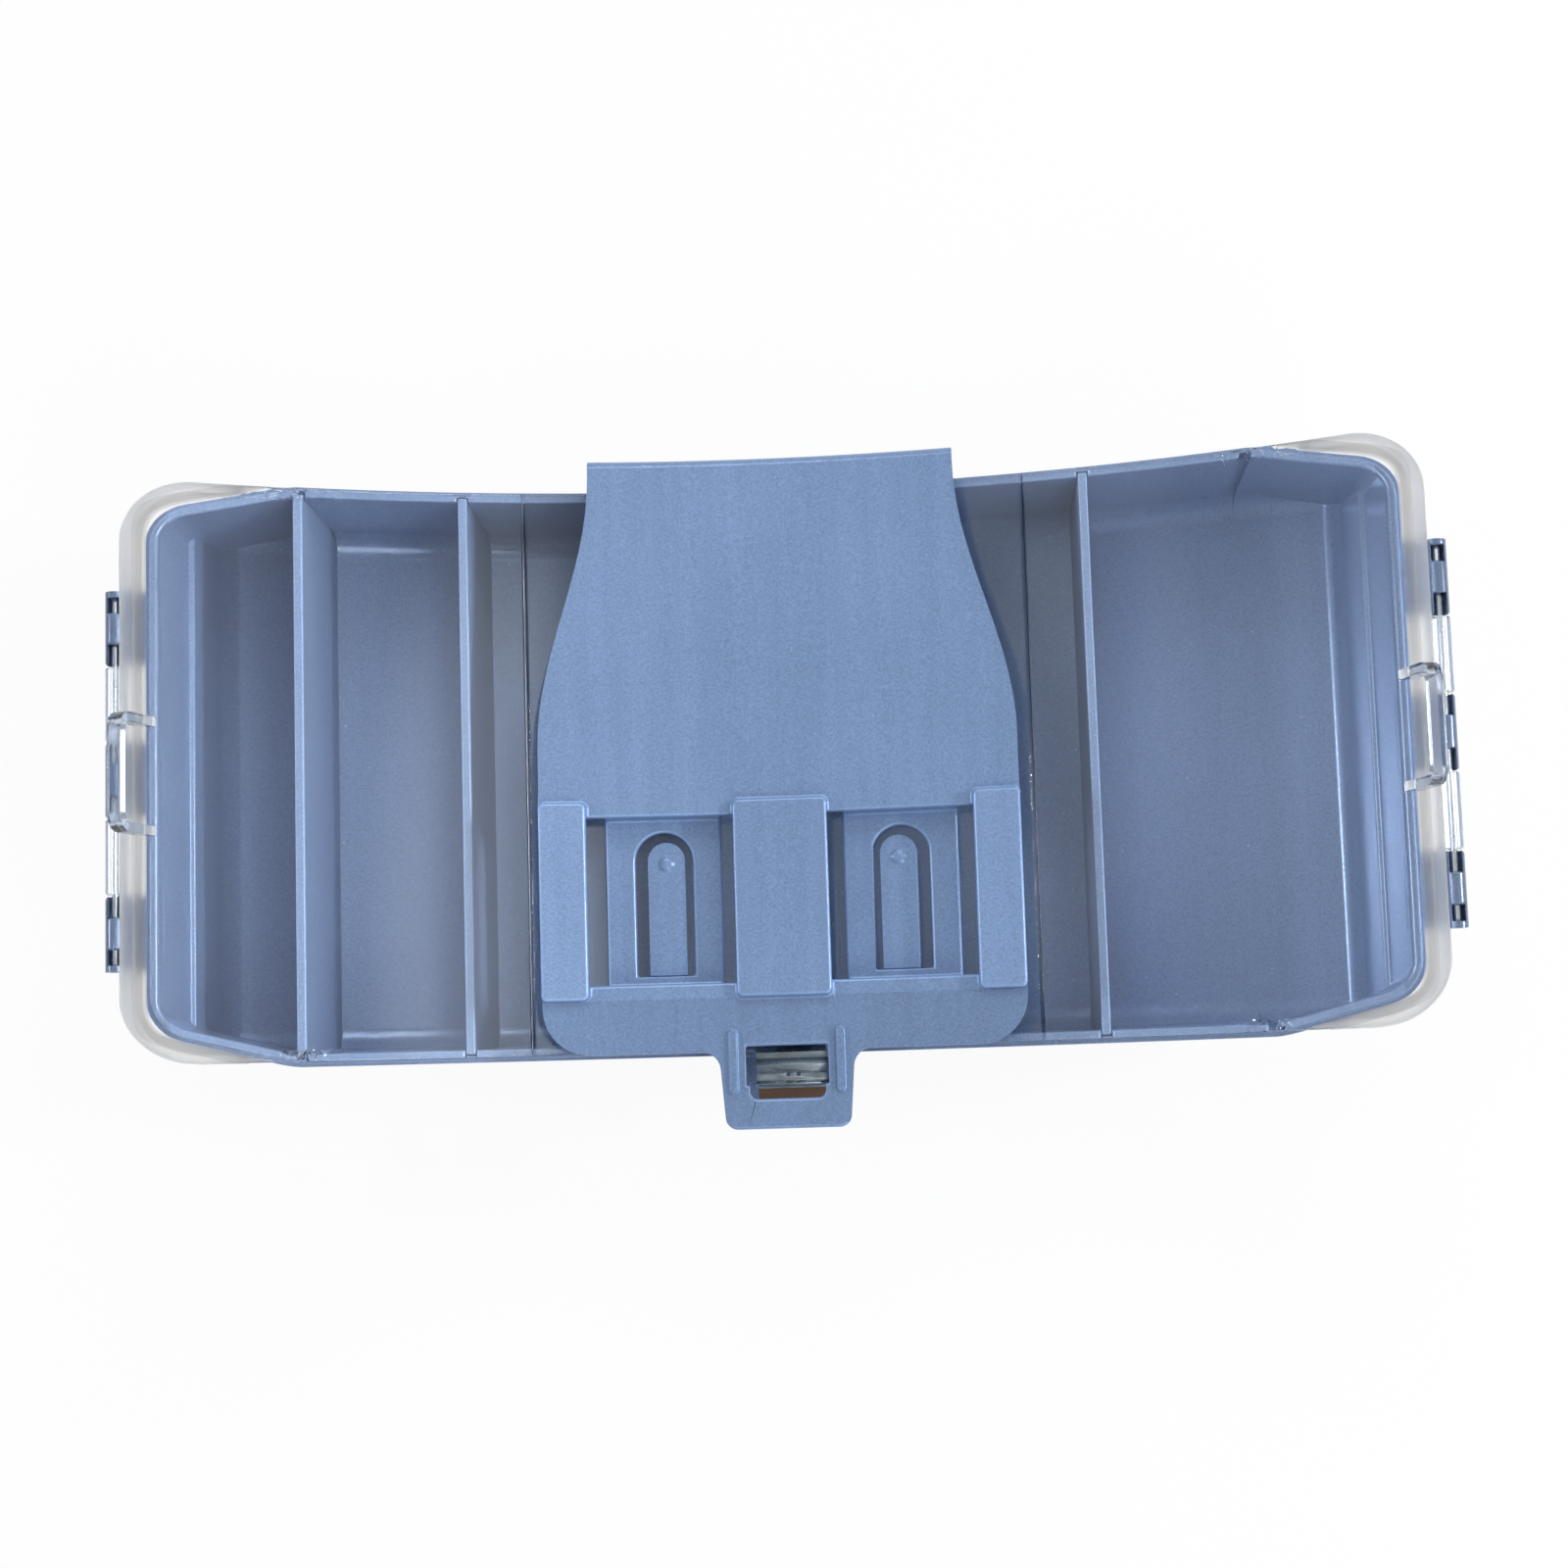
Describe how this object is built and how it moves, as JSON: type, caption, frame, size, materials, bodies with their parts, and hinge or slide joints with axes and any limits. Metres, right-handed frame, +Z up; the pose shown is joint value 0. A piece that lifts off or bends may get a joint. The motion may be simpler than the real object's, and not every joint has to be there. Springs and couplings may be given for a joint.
{
  "type": "compartmented belt case",
  "caption": "Curved compartment case for small art supplies, with clear hinged lids, removable dividers and a hinged belt plate with a sprung catch.",
  "frame": {"origin": "middle of the flat rest face under the tub's belly", "axes": "+X along the case towards the right end lid, +Y towards the belt plate's hinge, +Z up out of the mouth"},
  "size_m": [0.2644, 0.1397, 0.0806],
  "materials": {
    "blue_plastic": "satin, fine grain",
    "clear_plastic": "clear, polished",
    "steel": "bright",
    "spring_steel": "bright, bent strip"
  },
  "bodies": {
    "case": {"tub": "blue_plastic", "divider_1": "blue_plastic", "divider_2": "blue_plastic", "divider_3": "blue_plastic", "centre_cover": "clear_plastic", "cover_screw_1": "steel", "cover_screw_2": "steel", "cover_screw_3": "steel", "cover_screw_4": "steel", "lid_pin_left": "steel", "lid_pin_right": "steel", "plate_pin": "steel"},
    "left_lid": {"lid_left": "clear_plastic"},
    "right_lid": {"lid_right": "clear_plastic"},
    "plate": {"belt_plate": "blue_plastic", "catch": "spring_steel", "catch_rivet_1": "steel", "catch_rivet_2": "steel"},
    "left_tongue": {"tongue_left": "blue_plastic"},
    "right_tongue": {"tongue_right": "blue_plastic"}
  },
  "joints": [
    {"name": "left_lid_hinge", "type": "hinge", "parent": "case", "child": "left_lid", "pos_m": [-0.1303, -0.0017, 0.06332], "axis": [0, -1, 0], "range_deg": [0, 212]},
    {"name": "right_lid_hinge", "type": "hinge", "parent": "case", "child": "right_lid", "pos_m": [0.1303, -0.0017, 0.06332], "axis": [0, 1, 0], "range_deg": [0, 212]},
    {"name": "plate_hinge", "type": "hinge", "parent": "case", "child": "plate", "pos_m": [0, 0.0612, 0.0314], "axis": [-1, 0, 0], "range_deg": [0, 90]},
    {"name": "left_tongue_flex", "type": "hinge", "parent": "plate", "child": "left_tongue", "pos_m": [-0.0237, -0.0427, 0.03932], "axis": [-0.9953, 0, 0.0964], "range_deg": [0, 2], "stiffness_Nm_per_rad": 0.8},
    {"name": "right_tongue_flex", "type": "hinge", "parent": "plate", "child": "right_tongue", "pos_m": [0.0237, -0.0427, 0.03932], "axis": [-0.9953, 0, -0.0964], "range_deg": [0, 2], "stiffness_Nm_per_rad": 0.8}
  ]
}
